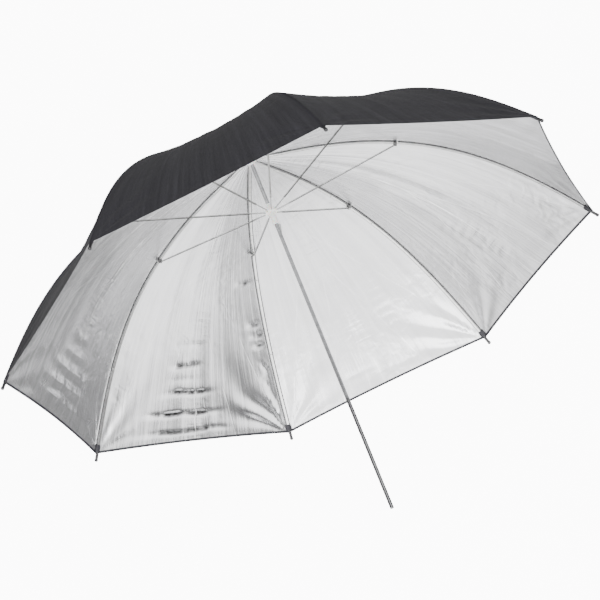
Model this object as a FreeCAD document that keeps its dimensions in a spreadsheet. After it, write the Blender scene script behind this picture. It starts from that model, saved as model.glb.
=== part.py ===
"""A studio umbrella reflector: eight steel ribs fold on a chromed tube and stretch a cloth that
is black outside and silver inside.

Everything is laid out about the umbrella's own axis first: +Z towards the crown, rib 1 along +X
and z = 0 at the middle of the stretch of shaft that a stand clamps. TO_ROW then lays that axis
along the part's +Y, with rib 1 pointing up.
"""
import FreeCAD, Part
import math
import os

import Sketcher
from FreeCAD import Placement, Rotation, Vector

DIMENSIONS = {
    # shaft, a round tube
    "shaft_radius": 4.0,
    "shaft_wall": 0.8,
    "shaft_below_clamp": 90.0,
    "shaft_above_hub": 13.0,
    "shaft_end_rounding": 1.2,
    "clamp_length": 180.0,
    "groove_width": 0.8,
    "groove_depth": 0.25,
    # crown hub, where the ribs hang on a wire ring
    "hub_height": 754.0,
    "hub_wire_ring": 9.5,
    "hub_radius": 12.5,
    "hub_collar_radius": 6.6,
    "hub_above_wire": 2.6,
    "hub_below_wire": 2.6,
    "hub_collar_length": 9.0,
    "hub_slot_floor": 7.0,
    "crown_rounding": 0.5,
    "wire_play": 0.03,
    "wire_radius": 0.6,
    "finger_slot": 1.9,
    # runner, which slides on the shaft
    "runner_height": 624.0,
    "runner_wire_ring": 9.4,
    "runner_radius": 13.5,
    "runner_sleeve_radius": 6.2,
    "runner_crown_half": 3.6,
    "runner_above": 17.0,
    "runner_below": 33.0,
    "runner_clearance": 0.06,
    "runner_slot_floor": 7.4,
    # latch that holds the runner up
    "latch_foot": 520.0,
    "latch_thickness": 1.0,
    "latch_inner": 1.9,
    "latch_leaf": 1.1,
    "latch_reach": 8.6,
    "latch_nose": 4.0,
    "latch_ramp": 25.5,
    "latch_top": 590.6,
    "latch_slot": 1.5,
    "latch_slot_below": 5.0,
    "latch_slot_above": 2.0,
    # ribs: each starts almost square to the shaft and bends down to the rim
    "rib_count": 8,
    "rim_radius": 640.0,
    "rib_start_slope": 3.7,
    "rib_turn": 49.3,
    "rib_width": 4.4,
    "rib_depth": 2.8,
    "rib_wall": 0.5,
    "tongue_thickness": 1.2,
    "tongue_reach": 6.5,
    "tongue_length": 8.0,
    "eye_radius": 1.6,
    "eye_clearance": 0.07,
    "joint_share": 0.4037,
    "joint_to_flex": 5.4,
    "flex_gap": 0.25,
    # rib tips
    "tip_radius": 3.3,
    "tip_ball": 3.9,
    "tip_length": 19.0,
    "tip_overlap": 6.0,
    "tip_play": 0.1,
    "rib_end_past_rim": 3.0,
    # joint clip on each rib, with the rivet that the stretcher turns on
    "clip_length": 8.0,
    "clip_wall": 0.6,
    "clip_play": 0.05,
    "clip_drop": 6.0,
    "rivet_radius": 0.9,
    "rivet_drop": 4.4,
    "rivet_head": 1.6,
    "rivet_head_height": 0.6,
    "rivet_clearance": 0.06,
    # stretchers, from the rib joint to the runner
    "stretcher_width": 3.4,
    "stretcher_depth": 2.4,
    "stretcher_wall": 0.45,
    "stretcher_end_radius": 11.6,
    "stretcher_tongue": 32.0,
    "stretcher_tongue_root": 4.0,
    # cloth
    "cloth_thickness": 0.8,
    "cloth_above_rib": 3.8,
    "cloth_crown_rise": 2.0,
    "cloth_crown_share": 0.05,
    "cloth_hole": 6.2,
    "cloth_dip": 13.0,
    "cloth_hem_scallop": 6.0,
    "cloth_seam_gap": 0.25,
    # crown cap and washer
    "cap_radius": 9.0,
    "cap_above_hub": 8.2,
    "cap_skirt": 5.0,
    "cap_dome": 7.0,
    "washer_radius": 15.0,
    "washer_thickness": 0.8,
    # how far a cutting shape runs past what it cuts
    "overcut": 1.0,
}

doc = FreeCAD.newDocument("umbrella_reflector")
sheet = doc.addObject("Spreadsheet::Sheet", "dims")
for row, (alias, value) in enumerate(DIMENSIONS.items(), start=1):
    sheet.set(f"A{row}", alias.replace("_", " "))
    sheet.set(f"B{row}", str(value))
    sheet.setAlias(f"B{row}", alias)
doc.recompute()


def size(alias):
    return float(getattr(sheet, alias))


RIB_COUNT = int(size("rib_count"))
STEP_ANGLE = 360.0 / RIB_COUNT
TO_ROW = Placement(Vector(0, 0, 0), Rotation(Vector(1, 1, 1), -120))
LATCH_SIDE = 2  # the latch faces the third rib
ALONG_Y = Rotation(Vector(1, 0, 0), -90)
LEAST_CUT = 1.0  # a slot that takes away less than this volume has missed its body
NODES = []


def around(index):
    """The place of rib number index (0 to 7), turned about the umbrella's axis."""
    turn = Rotation(Vector(0, 0, 1), STEP_ANGLE * index)
    return TO_ROW * Placement(Vector(0, 0, 0), turn)


def in_plane(point, slope=0.0):
    """A place in a rib's plane whose local X leans slope degrees below the outward radius."""
    return Placement(point, Rotation(Vector(0, 1, 0), slope))


def node(obj, label, placement):
    """Names a finished sub-part and puts it in its place."""
    obj.Label = label
    obj.Placement = placement
    NODES.append(obj)


def add(kind, name, **expressions):
    """A document object with each named property bound to an expression."""
    obj = doc.addObject(kind, name)
    for prop, expression in expressions.items():
        obj.setExpression(prop.replace("__", "."), expression)
    return obj


def block(name, x, y, z):
    """A box between pairs of bound coordinates."""
    return add(
        "Part::Box",
        name,
        Length=f"({x[1]}) - ({x[0]})",
        Width=f"({y[1]}) - ({y[0]})",
        Height=f"({z[1]}) - ({z[0]})",
        Placement__Base__x=x[0],
        Placement__Base__y=y[0],
        Placement__Base__z=z[0],
    )


def cross_pin(name, radius, width, x="0", z="0"):
    """A cylinder across a rib's plane, centred on it."""
    pin = doc.addObject("Part::Cylinder", name)
    pin.Placement = Placement(Vector(0, 0, 0), ALONG_Y)
    pin.setExpression("Radius", radius)
    pin.setExpression("Height", width)
    pin.setExpression("Placement.Base.x", x)
    pin.setExpression("Placement.Base.y", f"-({width}) / 2")
    pin.setExpression("Placement.Base.z", z)
    return pin


def cut(name, base, tool):
    result = doc.addObject("Part::Cut", name)
    result.Base = base
    result.Tool = tool
    return result


def fuse(name, *shapes):
    result = doc.addObject("Part::MultiFuse", name)
    result.Shapes = list(shapes)
    return result


def drawn_polygon(body, name, plane, corners):
    """A closed outline in a sketch, each corner held by two dimensions bound to the sheet."""
    sketch = body.newObject("Sketcher::SketchObject", name)
    flat = next(f for f in body.Origin.OriginFeatures if f.Role == plane)
    sketch.AttachmentSupport = (flat, "")
    sketch.MapMode = "FlatFace"
    points = [
        Vector(float(sketch.evalExpression(across)), float(sketch.evalExpression(up)), 0)
        for across, up in corners
    ]
    for start, end in zip(points, points[1:] + points[:1]):
        sketch.addGeometry(Part.LineSegment(start, end), False)
    for i in range(len(points)):
        following = (i + 1) % len(points)
        sketch.addConstraint(Sketcher.Constraint("Coincident", i, 2, following, 1))
    for i, (across, up) in enumerate(corners):
        for kind, expression, at in (
            ("DistanceX", across, points[i].x),
            ("DistanceY", up, points[i].y),
        ):
            index = sketch.addConstraint(Sketcher.Constraint(kind, -1, 1, i, 1, at))
            sketch.setExpression(f"Constraints[{index}]", expression)
    return sketch


def turned(name, corners):
    """A body turned about its Z axis from an outline of (radius, height) corners."""
    body = doc.addObject("PartDesign::Body", name)
    turn = body.newObject("PartDesign::Revolution", f"{name}_turn")
    turn.Profile = drawn_polygon(body, f"{name}_outline", "XZ_Plane", corners)
    turn.ReferenceAxis = (turn.Profile[0], ["V_Axis"])
    turn.Angle = 360
    doc.recompute()
    return body


def round_edge(body, radius, height, fillet):
    """Rounds the circular edge of that radius at that height above the body's origin."""
    for i, edge in enumerate(body.Shape.Edges, start=1):
        circle = edge.Curve
        if not isinstance(circle, Part.Circle):
            continue
        if abs(circle.Radius - radius) < 1e-4 and abs(circle.Center.z - height) < 1e-4:
            rounded = body.Tip
            rounding = body.newObject("PartDesign::Fillet", f"{body.Name}_round_{i}")
            rounding.Base = (rounded, [f"Edge{i}"])
            rounding.setExpression("Radius", fillet)
            doc.recompute()
            return
    raise RuntimeError(f"{body.Name} has no edge of radius {radius} at height {height}")


def slot_fingers(body, floor, reach):
    """Cuts one slot per rib through a toothed crown, from the floor radius outwards."""
    before = body.Shape.Volume
    half = "dims.finger_slot / 2"
    outline = drawn_polygon(
        body,
        f"{body.Name}_slot_outline",
        "XY_Plane",
        [(floor, f"-{half}"), (reach, f"-{half}"), (reach, half), (floor, half)],
    )
    slot = body.newObject("PartDesign::Pocket", f"{body.Name}_slot")
    slot.Profile = outline
    slot.Type = "ThroughAll"
    slot.Reversed = True
    pattern = body.newObject("PartDesign::PolarPattern", f"{body.Name}_slots")
    pattern.Originals = [slot]
    pattern.Axis = (outline, ["N_Axis"])
    pattern.Angle = 360
    pattern.Occurrences = RIB_COUNT
    body.Tip = pattern
    doc.recompute()
    if body.Shape.Volume > before - LEAST_CUT:
        raise RuntimeError(f"the slots of {body.Name} cut nothing")


def wire_groove(body, ring, height):
    """Cuts the round channel in a crown's teeth that the wire ring lies in."""
    groove = body.newObject("PartDesign::SubtractiveTorus", f"{body.Name}_wire_groove")
    flat = next(f for f in body.Origin.OriginFeatures if f.Role == "XY_Plane")
    groove.AttachmentSupport = (flat, "")
    groove.MapMode = "FlatFace"
    groove.setExpression("Radius1", ring)
    groove.setExpression("Radius2", "dims.wire_radius + dims.wire_play")
    groove.setExpression("AttachmentOffset.Base.z", height)
    body.Tip = groove
    doc.recompute()


# --- shaft -----------------------------------------------------------------------------------


def make_shaft():
    """The tube, closed and rounded at its free end, with a ring that ends the clamping stretch."""
    inner = "dims.shaft_radius - dims.shaft_wall"
    groove = "dims.shaft_radius - dims.groove_depth"
    top = "dims.shaft_below_clamp + dims.hub_height + dims.shaft_above_hub"
    body = turned(
        "shaft",
        [
            ("0", "0"),
            ("dims.shaft_radius", "0"),
            ("dims.shaft_radius", "dims.clamp_length"),
            (groove, "dims.clamp_length"),
            (groove, "dims.clamp_length + dims.groove_width"),
            ("dims.shaft_radius", "dims.clamp_length + dims.groove_width"),
            ("dims.shaft_radius", top),
            (inner, top),
            (inner, "2 * dims.shaft_wall"),
            ("0", "2 * dims.shaft_wall"),
        ],
    )
    round_edge(body, size("shaft_radius"), 0.0, "dims.shaft_end_rounding")
    before = body.Shape.Volume
    half = "dims.latch_slot / 2"
    wedge_foot = "dims.shaft_below_clamp + dims.latch_top - dims.latch_nose - dims.latch_ramp"
    low = f"{wedge_foot} - dims.latch_slot_below"
    high = "dims.shaft_below_clamp + dims.latch_top + dims.latch_slot_above"
    slot = body.newObject("PartDesign::Pocket", "latch_slot")
    slot.Profile = drawn_polygon(
        body,
        "latch_slot_outline",
        "YZ_Plane",
        [(f"-{half}", low), (half, low), (half, high), (f"-{half}", high)],
    )
    slot.Type = "ThroughAll"
    slot.Reversed = True
    body.Tip = slot
    doc.recompute()
    if body.Shape.Volume > before - LEAST_CUT:
        raise RuntimeError("the latch slot cut nothing")
    below = Placement(Vector(0, 0, -size("shaft_below_clamp")), Rotation())
    node(body, "shaft", around(LATCH_SIDE) * below)


def make_latch():
    """A sprung leaf inside the tube; its wedge stands out through the slot under the runner."""
    body = doc.addObject("PartDesign::Body", "latch_spring")
    shoulder = "dims.latch_top - dims.latch_foot"
    nose = f"{shoulder} - dims.latch_nose"
    leaf = "dims.latch_inner + dims.latch_leaf"
    pad = body.newObject("PartDesign::Pad", "latch_spring_pad")
    pad.Profile = drawn_polygon(
        body,
        "latch_spring_outline",
        "XZ_Plane",
        [
            ("dims.latch_inner", "0"),
            (leaf, "0"),
            (leaf, f"{nose} - dims.latch_ramp"),
            ("dims.latch_reach", nose),
            ("dims.latch_reach", shoulder),
            ("dims.latch_inner", shoulder),
        ],
    )
    pad.Midplane = True
    pad.setExpression("Length", "dims.latch_thickness")
    foot = Placement(Vector(0, 0, size("latch_foot")), Rotation())
    node(body, "latch_spring", around(LATCH_SIDE) * foot)


# --- hub, runner and crown -------------------------------------------------------------------


def make_hub():
    """The fixed crown notch: a toothed disc on the tube, with a collar below it."""
    disc = "dims.hub_collar_length"
    top = f"{disc} + dims.hub_below_wire + dims.hub_above_wire"
    body = turned(
        "top_notch",
        [
            ("dims.shaft_radius", "0"),
            ("dims.hub_collar_radius", "0"),
            ("dims.hub_collar_radius", disc),
            ("dims.hub_radius", disc),
            ("dims.hub_radius", top),
            ("dims.shaft_radius", top),
        ],
    )
    height = size("hub_collar_length") + size("hub_below_wire") + size("hub_above_wire")
    round_edge(body, size("hub_radius"), height, "dims.crown_rounding")
    round_edge(body, size("hub_collar_radius"), 0.0, "dims.crown_rounding")
    slot_fingers(body, "dims.hub_slot_floor", "dims.hub_radius + dims.overcut")
    wire_groove(body, "dims.hub_wire_ring", f"{disc} + dims.hub_below_wire")
    base = size("hub_height") - size("hub_below_wire") - size("hub_collar_length")
    node(body, "top_notch", around(0) * Placement(Vector(0, 0, base), Rotation()))


def make_runner():
    """The sliding sleeve, with a toothed crown that takes the stretchers' inner ends."""
    bore = "dims.shaft_radius + dims.runner_clearance"
    crown_low = "dims.runner_below - dims.runner_crown_half"
    crown_high = "dims.runner_below + dims.runner_crown_half"
    top = "dims.runner_below + dims.runner_above"
    body = turned(
        "runner",
        [
            (bore, "0"),
            ("dims.runner_sleeve_radius", "0"),
            ("dims.runner_sleeve_radius", crown_low),
            ("dims.runner_radius", crown_low),
            ("dims.runner_radius", crown_high),
            ("dims.runner_sleeve_radius", crown_high),
            ("dims.runner_sleeve_radius", top),
            (bore, top),
        ],
    )
    low = size("runner_below") - size("runner_crown_half")
    high = size("runner_below") + size("runner_crown_half")
    for radius, height in (
        ("runner_radius", low),
        ("runner_radius", high),
        ("runner_sleeve_radius", 0.0),
        ("runner_sleeve_radius", size("runner_below") + size("runner_above")),
    ):
        round_edge(body, size(radius), height, "dims.crown_rounding")
    slot_fingers(body, "dims.runner_slot_floor", "dims.runner_radius + dims.overcut")
    wire_groove(body, "dims.runner_wire_ring", "dims.runner_below")
    base = size("runner_height") - size("runner_below")
    node(body, "runner", around(0) * Placement(Vector(0, 0, base), Rotation()))


def make_wire(label, ring, height):
    wire = add("Part::Torus", label, Radius1=ring, Radius2="dims.wire_radius")
    node(wire, label, around(0) * Placement(Vector(0, 0, size(height)), Rotation()))


def make_cap():
    """The cap pressed on the tube's top end, over the cloth and a washer."""
    skirt = add("Part::Cylinder", "cap_skirt", Radius="dims.cap_radius", Height="dims.cap_skirt")
    dome = add(
        "Part::Ellipsoid",
        "cap_dome",
        Radius1="dims.cap_dome",
        Radius2="dims.cap_radius",
        Placement__Base__z="dims.cap_skirt",
    )
    dome.Angle1 = 0
    bore = add("Part::Cylinder", "cap_bore", Radius="dims.shaft_radius")
    bore.setExpression("Height", "dims.shaft_above_hub - dims.cap_above_hub")
    cap = cut("crown_cap", fuse("cap_body", skirt, dome), bore)
    seat = size("hub_height") + size("cap_above_hub")
    node(cap, "crown_cap", around(0) * Placement(Vector(0, 0, seat), Rotation()))


def make_washer():
    disc = add(
        "Part::Cylinder", "washer_disc", Radius="dims.washer_radius", Height="dims.washer_thickness"
    )
    hole = add(
        "Part::Cylinder", "washer_hole", Radius="dims.shaft_radius", Height="dims.washer_thickness"
    )
    below_cap = size("hub_height") + size("cap_above_hub") - size("washer_thickness")
    place = around(0) * Placement(Vector(0, 0, below_cap), Rotation())
    node(cut("crown_washer", disc, hole), "crown_washer", place)


# --- ribs ------------------------------------------------------------------------------------


TRACE_STEPS = 800
CHANNEL_OVERRUN = 0.002  # share of the rib's length that the trough runs past the channel
HEM_POWER = 6  # the scallop grows with this power of the share along the rib
BOW_POWER = 0.9  # the cloth's dip follows a sine of the share raised to this power
BOW_SPAN = 0.88  # share of half a wave that the sine runs through by the hem


def rib_slope(share):
    """How far a rib leans below the outward radius, in radians, at a share of its length."""
    share = min(max(share, 0.0), 1.0)
    turned_so_far = share * share * (3 - 2 * share)
    return math.radians(size("rib_start_slope") + size("rib_turn") * turned_so_far)


def rib_trace(steps=TRACE_STEPS):
    """(length of a rib from its pivot to the rim, points of its centreline for length 1)."""
    radius, drop = [0.0], [0.0]
    for i in range(steps):
        slope = rib_slope((i + 0.5) / steps)
        radius.append(radius[-1] + math.cos(slope) / steps)
        drop.append(drop[-1] + math.sin(slope) / steps)
    length = (size("rim_radius") - size("hub_wire_ring")) / radius[-1]
    return length, radius, drop


RIB_LENGTH, TRACE_RADIUS, TRACE_DROP = rib_trace()


def rib_point(share, above=0.0):
    """The point of a rib's plane that lies above its centreline, towards the cloth."""
    inside = min(max(share, 0.0), 1.0) * (len(TRACE_RADIUS) - 1)
    i = min(int(inside), len(TRACE_RADIUS) - 2)
    part = inside - i
    slope = rib_slope(share)
    beyond = share - min(max(share, 0.0), 1.0)
    radius = TRACE_RADIUS[i] + part * (TRACE_RADIUS[i + 1] - TRACE_RADIUS[i])
    drop = TRACE_DROP[i] + part * (TRACE_DROP[i + 1] - TRACE_DROP[i])
    radius = (radius + beyond * math.cos(slope)) * RIB_LENGTH + above * math.sin(slope)
    drop = (drop + beyond * math.sin(slope)) * RIB_LENGTH - above * math.cos(slope)
    return Vector(size("hub_wire_ring") + radius, 0, size("hub_height") - drop)


def rib_bar(start, end, low, high, width, steps=14):
    """A solid strip along the rib between two shares of it, centred on the rib's plane."""
    shares = [start + (end - start) * i / steps for i in range(steps + 1)]
    edges = []
    for above in (low, high):
        curve = Part.BSplineCurve()
        curve.interpolate([rib_point(share, above) for share in shares])
        edges.append(curve.toShape())
    for share in (start, end):
        edges.append(Part.makeLine(rib_point(share, low), rib_point(share, high)))
    face = Part.Face(Part.Wire(Part.__sortEdges__(edges)))
    face.translate(Vector(0, -width / 2, 0))
    return face.extrude(Vector(0, width, 0))


def rib_channel(start, end):
    """A U of thin steel along the rib, its open side towards the cloth."""
    half = size("rib_depth") / 2
    wall = size("rib_wall")
    bar = rib_bar(start, end, -half, half, size("rib_width"))
    trough = rib_bar(
        start - CHANNEL_OVERRUN,
        end + CHANNEL_OVERRUN,
        wall - half,
        half + wall,
        size("rib_width") - 2 * wall,
    )
    return bar.cut(trough)


def across(point, radius, width):
    """A plain round bar across the rib's plane at a point of it."""
    return Part.makeCylinder(radius, width, point - Vector(0, width / 2, 0), Vector(0, 1, 0))


JOINT = size("joint_share")
FLEX = JOINT + size("joint_to_flex") / RIB_LENGTH


def inner_rib_shape():
    """From the flat eye on the hub's wire to the end just past the stretcher's joint."""
    half = size("rib_depth") / 2
    thin = size("tongue_thickness")
    channel_start = size("tongue_reach") / RIB_LENGTH
    tongue_end = channel_start + size("tongue_length") / RIB_LENGTH
    tongue = rib_bar(0, tongue_end, -half, half - size("rib_wall"), thin, steps=4)
    eye = across(rib_point(0), size("eye_radius"), thin)
    hole = across(rib_point(0), size("wire_radius") + size("eye_clearance"), 2 * thin)
    channel = rib_channel(channel_start, FLEX - size("flex_gap") / 2 / RIB_LENGTH)
    return channel.fuse([tongue, eye]).cut(hole).removeSplitter()


def outer_rib_shape():
    """From just past the stretcher's joint to the end inside the tip."""
    start = FLEX + size("flex_gap") / 2 / RIB_LENGTH
    return rib_channel(start, 1 + size("rib_end_past_rim") / RIB_LENGTH)


def make_feature(label, shape, placement):
    feature = doc.addObject("Part::Feature", label)
    feature.Shape = shape
    node(feature, label, placement)


def make_tip(index):
    """The cap on a rib's end, which the cloth's corner is sewn to."""
    name = f"rib_{index + 1}_tip"
    barrel = cross_pin(f"{name}_barrel", "dims.tip_radius", "dims.tip_length")
    barrel.Placement = Placement(Vector(0, 0, 0), Rotation(Vector(0, 1, 0), 90))
    barrel.setExpression("Placement.Base.y", "0")
    barrel.setExpression("Placement.Base.x", "-dims.tip_overlap")
    ball = add(
        "Part::Sphere",
        f"{name}_ball",
        Radius="dims.tip_ball",
        Placement__Base__x="dims.tip_length - dims.tip_overlap",
    )
    half_width = "(dims.rib_width / 2 + dims.tip_play)"
    half_depth = "(dims.rib_depth / 2 + dims.tip_play)"
    pocket = block(
        f"{name}_pocket",
        ("-dims.tip_overlap - dims.overcut", "dims.rib_end_past_rim + dims.tip_play"),
        (f"-{half_width}", half_width),
        (f"-{half_depth}", half_depth),
    )
    tip = cut(name, fuse(f"{name}_solid", barrel, ball), pocket)
    slope = math.degrees(rib_slope(1.0))
    node(tip, name, around(index) * in_plane(rib_point(1.0), slope))


def make_clip(index):
    """The saddle that grips a rib, with two ears and the rivet that a stretcher turns on."""
    name = f"rib_{index + 1}_joint"
    half = "(dims.rib_width / 2 + dims.clip_play)"
    roof = "(dims.rib_depth / 2 + dims.clip_play)"
    ends = ("-dims.clip_length / 2", "dims.clip_length / 2")
    outside = block(
        f"{name}_outside",
        ends,
        (f"-{half} - dims.clip_wall", f"{half} + dims.clip_wall"),
        ("-dims.clip_drop", f"{roof} + dims.clip_wall"),
    )
    inside = block(
        f"{name}_inside",
        ("-dims.clip_length", "dims.clip_length"),
        (f"-{half}", half),
        ("-dims.clip_drop - dims.overcut", roof),
    )
    ear_width = f"2 * ({half} + dims.clip_wall)"
    head_width = f"{ear_width} + 2 * dims.rivet_head_height"
    rivet = fuse(
        f"{name}_rivet",
        cross_pin(f"{name}_shank", "dims.rivet_radius", head_width, z="-dims.rivet_drop"),
        cut(
            f"{name}_heads",
            cross_pin(f"{name}_head", "dims.rivet_head", head_width, z="-dims.rivet_drop"),
            cross_pin(
                f"{name}_between",
                "dims.rivet_head + dims.overcut",
                ear_width,
                z="-dims.rivet_drop",
            ),
        ),
    )
    clip = fuse(name, cut(f"{name}_saddle", outside, inside), rivet)
    slope = math.degrees(rib_slope(JOINT))
    node(clip, name, around(index) * in_plane(rib_point(JOINT), slope))


# --- stretchers ------------------------------------------------------------------------------


def stretcher_line():
    """(outer pivot, length, slope in degrees) of a stretcher in its rib's plane."""
    pivot = rib_point(JOINT, -size("rivet_drop"))
    inner_end = Vector(size("stretcher_end_radius"), 0, size("runner_height"))
    slope = math.degrees(math.atan2(pivot.z - inner_end.z, pivot.x - inner_end.x))
    return pivot, (pivot - inner_end).Length, slope


def make_stretcher(index):
    """A channel from the rib joint to the runner; its local X runs inwards along it."""
    name = f"stretcher_{index + 1}"
    pivot, _, slope = stretcher_line()
    sheet_length = "dims.stretcher_length"
    half = "dims.stretcher_width / 2"
    deep = "dims.stretcher_depth / 2"
    thin = "dims.tongue_thickness / 2"
    web_end = f"{sheet_length} - dims.stretcher_tongue"
    outside = block(f"{name}_outside", ("0", web_end), (f"-{half}", half), (f"-{deep}", deep))
    trough = block(
        f"{name}_trough",
        ("dims.rivet_head + dims.rivet_head_height", f"{web_end} + dims.overcut"),
        (f"-{half} + dims.stretcher_wall", f"{half} - dims.stretcher_wall"),
        (f"-{deep} + dims.stretcher_wall", f"{deep} + dims.overcut"),
    )
    tongue = block(
        f"{name}_tongue",
        (f"{web_end} - dims.stretcher_tongue_root", sheet_length),
        (f"-{thin}", thin),
        (f"-{deep}", deep),
    )
    round_end = cross_pin(f"{name}_round", deep, "dims.tongue_thickness", x=sheet_length)
    boss = cross_pin(f"{name}_boss", "dims.rivet_head", "dims.stretcher_width")
    hole = cross_pin(
        f"{name}_hole", "dims.rivet_radius + dims.rivet_clearance", "2 * dims.stretcher_width"
    )
    bar = fuse(f"{name}_bar", cut(f"{name}_channel", outside, trough), tongue, round_end, boss)
    turned_in = Placement(pivot, Rotation(Vector(0, 1, 0), 180 - slope))
    node(cut(name, bar, hole), name, around(index) * turned_in)


# --- cloth -----------------------------------------------------------------------------------


def cloth_point(share, side):
    """A point of the cloth's outer face: side is 0 over the rib and 1 or -1 halfway to the next
    rib, where the cloth hangs inwards of the straight line between the two ribs."""
    half_angle = math.radians(STEP_ANGLE / 2)
    over = abs(side)
    rise = max(0.0, 1 - max(share, 0.0) / size("cloth_crown_share")) ** 2
    above = size("cloth_above_rib") + size("cloth_crown_rise") * rise + size("cloth_thickness")
    hem = size("cloth_hem_scallop") / RIB_LENGTH * max(share, 0.0) ** HEM_POWER
    on_rib = rib_point(share - hem * over * over, above)
    slope = rib_slope(share)
    bow = math.sin(math.pi * BOW_SPAN * min(max(share, 0.0), 1.0) ** BOW_POWER)
    dip = size("cloth_dip") * bow * over * (2 - over)
    middle = on_rib.x * math.cos(half_angle)
    radial = on_rib.x + (middle * math.cos(half_angle) - on_rib.x) * over
    tangential = middle * math.sin(half_angle) * over
    angle = half_angle * over
    radial -= dip * math.sin(slope) * math.cos(angle)
    tangential -= dip * math.sin(slope) * math.sin(angle)
    seam = size("cloth_seam_gap") * over * over
    radial += seam * math.sin(half_angle)
    tangential -= seam * math.cos(half_angle)
    return Vector(radial, math.copysign(tangential, side), on_rib.z - dip * math.cos(slope))


def cloth_shape(steps=12, across_steps=4):
    """The cloth from halfway to one neighbour to halfway to the other."""
    first = (size("cloth_hole") - size("hub_wire_ring")) / RIB_LENGTH
    shares = [first + (1 - first) * i / steps for i in range(steps + 1)]
    lean = math.radians(size("rib_start_slope") + size("rib_turn") / 2)
    inwards = Vector(-math.sin(lean), 0, -math.cos(lean)) * size("cloth_thickness")
    halves = []
    for way in (-1, 1):
        grid = [
            [cloth_point(share, way * j / across_steps) for j in range(across_steps + 1)]
            for share in shares
        ]
        surface = Part.BSplineSurface()
        surface.interpolate(grid)
        halves.append(surface.toShape().extrude(inwards))
    return halves[0].fuse(halves[1])


# --- assembly --------------------------------------------------------------------------------

_, stretcher_length, _ = stretcher_line()
length_row = len(DIMENSIONS) + 1
sheet.set(f"A{length_row}", "stretcher length")
sheet.set(f"B{length_row}", str(stretcher_length))
sheet.setAlias(f"B{length_row}", "stretcher_length")
doc.recompute()

make_shaft()
make_latch()
make_hub()
make_wire("notch_wire", "dims.hub_wire_ring", "hub_height")
make_runner()
make_wire("runner_wire", "dims.runner_wire_ring", "runner_height")
make_washer()
make_cap()

inner_rib = inner_rib_shape()
outer_rib = outer_rib_shape()
cloth = cloth_shape()
for index in range(RIB_COUNT):
    make_feature(f"rib_{index + 1}", inner_rib, around(index))
    make_feature(f"rib_{index + 1}_outer", outer_rib, around(index))
    make_clip(index)
    make_tip(index)
    make_stretcher(index)
    make_feature(f"canopy_{index + 1}", cloth, around(index))

doc.recompute()

# --- checks and export -----------------------------------------------------------------------

for obj in doc.Objects:
    if any(word in ("Invalid", "Error") for word in obj.State):
        raise RuntimeError(f"{obj.Label} failed to recompute: {obj.State}")
os.makedirs("parts", exist_ok=True)
for obj in NODES:
    if obj.Shape.isNull() or not obj.Shape.isValid():
        raise RuntimeError(f"{obj.Label} has no valid shape")
    obj.Shape.exportStep(f"parts/{obj.Label}.step")
print(f"{len(NODES)} sub-parts written; a rib is {RIB_LENGTH:.1f} mm along its curve")
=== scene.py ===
"""Looks of the umbrella reflector: black and silver cloth, steel ribs and a chromed shaft."""

import math

import bpy
import numpy as np
from mathutils import Matrix, Vector


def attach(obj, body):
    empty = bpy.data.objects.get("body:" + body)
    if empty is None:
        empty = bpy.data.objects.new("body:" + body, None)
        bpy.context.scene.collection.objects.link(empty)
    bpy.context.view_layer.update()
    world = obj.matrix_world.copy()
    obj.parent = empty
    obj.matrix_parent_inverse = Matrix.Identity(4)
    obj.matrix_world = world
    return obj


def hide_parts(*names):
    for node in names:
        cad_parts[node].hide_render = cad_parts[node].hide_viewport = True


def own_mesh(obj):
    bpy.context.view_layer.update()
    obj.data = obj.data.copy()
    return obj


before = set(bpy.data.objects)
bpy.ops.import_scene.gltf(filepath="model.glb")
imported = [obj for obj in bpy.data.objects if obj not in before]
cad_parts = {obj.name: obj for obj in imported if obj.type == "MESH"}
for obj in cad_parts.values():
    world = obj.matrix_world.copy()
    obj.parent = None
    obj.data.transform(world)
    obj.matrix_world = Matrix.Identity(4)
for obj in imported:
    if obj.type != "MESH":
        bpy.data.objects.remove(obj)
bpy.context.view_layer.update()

# --- sizes, in metres and radians --------------------------------------------------------------

# The ribs and the cloth, as in the CAD. A share is a part of a rib's length, from the crown.
RIB_COUNT = 8
HALF_STEP = math.pi / RIB_COUNT
HUB_HEIGHT = 0.754
HUB_WIRE_RING = 0.0095
RIM_RADIUS = 0.640
RIB_START_SLOPE = math.radians(3.7)
RIB_TURN = math.radians(49.3)
RIB_WIDTH = 0.0044
RIB_DEPTH = 0.0028
JOINT_SHARE = 0.4037  # where the stretcher joins the rib
JOINT_TO_FLEX = 0.0054
CLOTH_ABOVE_RIB = 0.0038
CLOTH_CROWN_RISE = 0.0020
CLOTH_CROWN_SHARE = 0.05
CLOTH_HOLE = 0.0062
CLOTH_DIP = 0.013
CLOTH_SOLID = 0.0008
HEM_SCALLOP = 0.006
HEM_POWER = 6
SLACK = {6: 0.006}  # further dip of a gore whose cloth is looser
BOW_POWER = 0.9
BOW_SPAN = 0.88
TRACE_STEPS = 800

# The cloth's mesh. A half reaches from a rib to halfway to its neighbour.
CLOTH_THICKNESS = 0.0004
INNER_ROWS = 44
OUTER_ROWS = 100
ROW_CROWDING = 1.5  # how much closer the rows lie at the hem
HALF_COLUMNS = 30
COLUMN_CROWDING = 1.15  # how much closer the columns lie at the rib
HEM_WIDTH = 0.0055

# The cloth as it would lie when the umbrella is folded; nothing in this script folds it.
INNER_FOLDED_SHARE = 0.215  # of a half's width that is left
OUTER_FOLDED_SHARE = 0.135
FOLDED_LEANS = {1: 0.058, -1: 0.010}  # they would lay the half after a rib over the next rib's half
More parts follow.
